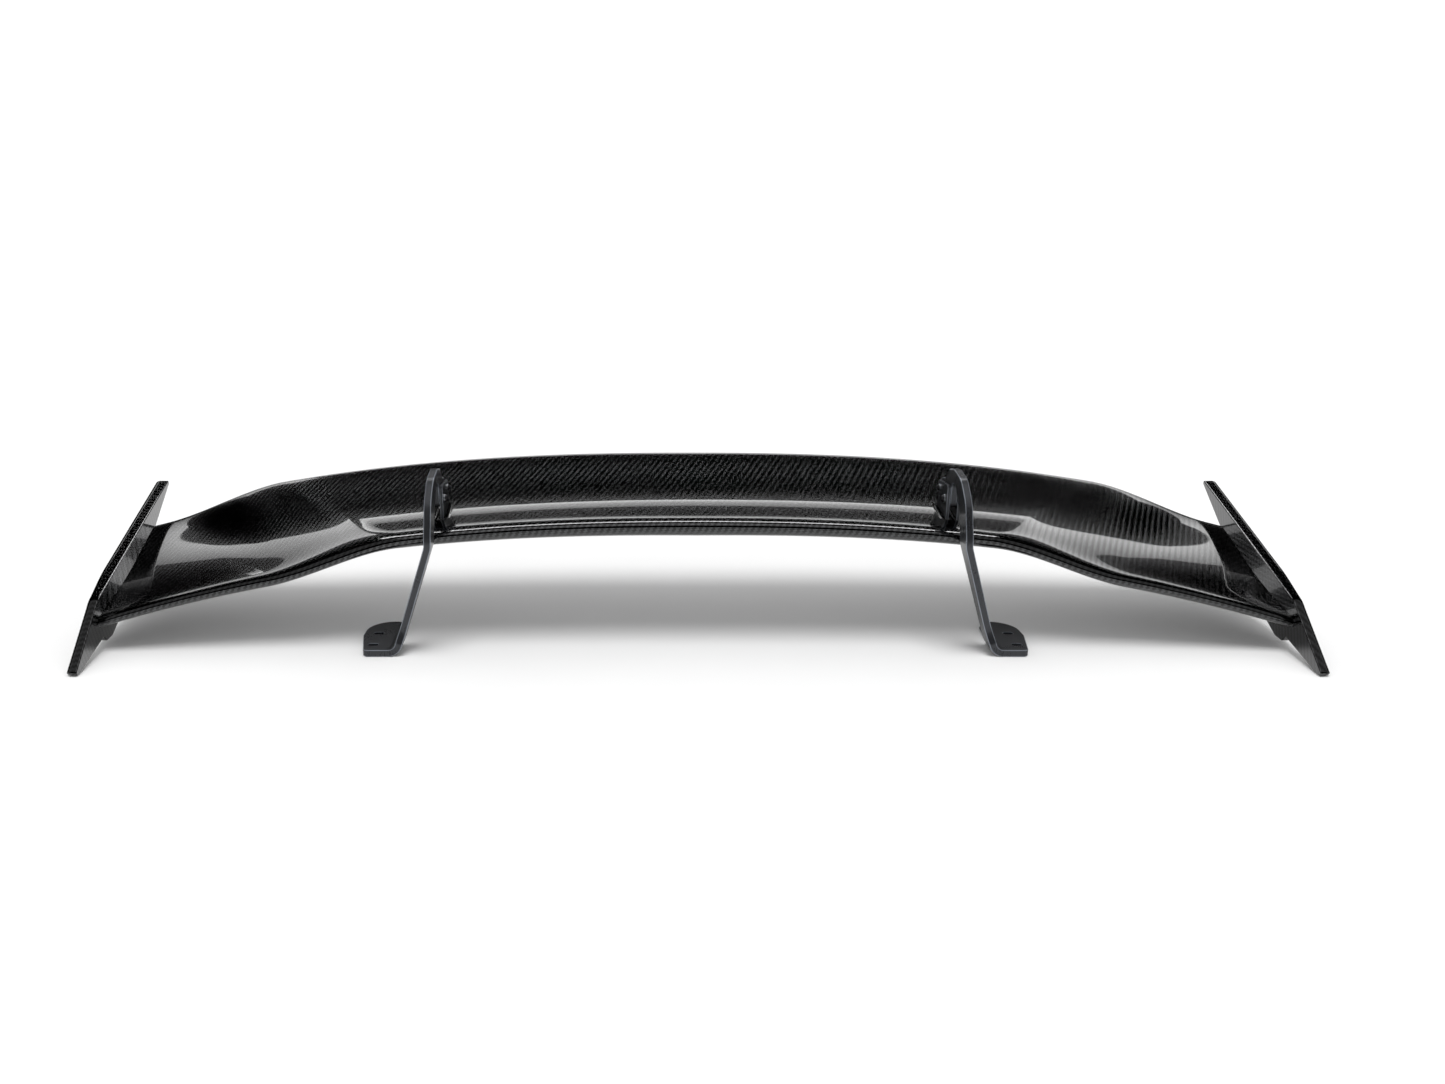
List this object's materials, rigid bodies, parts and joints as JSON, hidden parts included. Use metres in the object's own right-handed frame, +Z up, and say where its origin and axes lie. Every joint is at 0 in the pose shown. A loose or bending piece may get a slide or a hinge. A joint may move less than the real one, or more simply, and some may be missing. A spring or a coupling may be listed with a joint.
{
  "type": "rear wing",
  "caption": "Swan-neck rear wing for a touring car: gull-shaped carbon plane between swept end plates, hung from two bent aluminium uprights and adjustable in angle.",
  "frame": {"origin": "centre of the four foot slots, on the boot-lid plane under the feet", "axes": "+X across the car towards its left piece names, +Y rearward, +Z up"},
  "size_m": [1.622, 0.3993, 0.2374],
  "materials": {
    "clear_carbon": "2x2 twill carbon cloth under a gloss clear coat",
    "raw_carbon": "uncoated carbon laminate",
    "black_anodised": "satin black anodised",
    "bare_aluminium": "machined",
    "black_steel": "black oxide",
    "zinc_steel": "zinc plated",
    "brass": "turned"
  },
  "bodies": {
    "uprights": {"left_upright": "black_anodised", "right_upright": "black_anodised"},
    "wing": {"upper_skin": "clear_carbon", "lower_skin": "clear_carbon", "front_spar": "raw_carbon", "rear_spar": "raw_carbon", "left_mount_ribs": "raw_carbon", "right_mount_ribs": "raw_carbon", "left_mount_block": "bare_aluminium", "right_mount_block": "bare_aluminium", "left_tip_rib": "raw_carbon", "right_tip_rib": "raw_carbon", "left_tip_inserts": "brass", "right_tip_inserts": "brass", "left_end_plate": "clear_carbon", "right_end_plate": "clear_carbon", "left_plate_screws": "black_steel", "right_plate_screws": "black_steel", "left_inner_bracket": "black_anodised", "right_inner_bracket": "black_anodised", "left_outer_bracket": "black_anodised", "right_outer_bracket": "black_anodised", "left_bracket_screws": "black_steel", "right_bracket_screws": "black_steel", "left_pivot_bolt": "black_steel", "right_pivot_bolt": "black_steel", "left_pivot_nut": "zinc_steel", "right_pivot_nut": "zinc_steel", "left_clamp_bolt": "black_steel", "right_clamp_bolt": "black_steel", "left_clamp_nut": "zinc_steel", "right_clamp_nut": "zinc_steel", "left_washers": "zinc_steel", "right_washers": "zinc_steel"}
  },
  "joints": [
    {"name": "wing_angle", "type": "hinge", "parent": "uprights", "child": "wing", "pos_m": [0, 0.05, 0.192], "axis": [1, 0, 0], "range_deg": [-5, 5]}
  ]
}
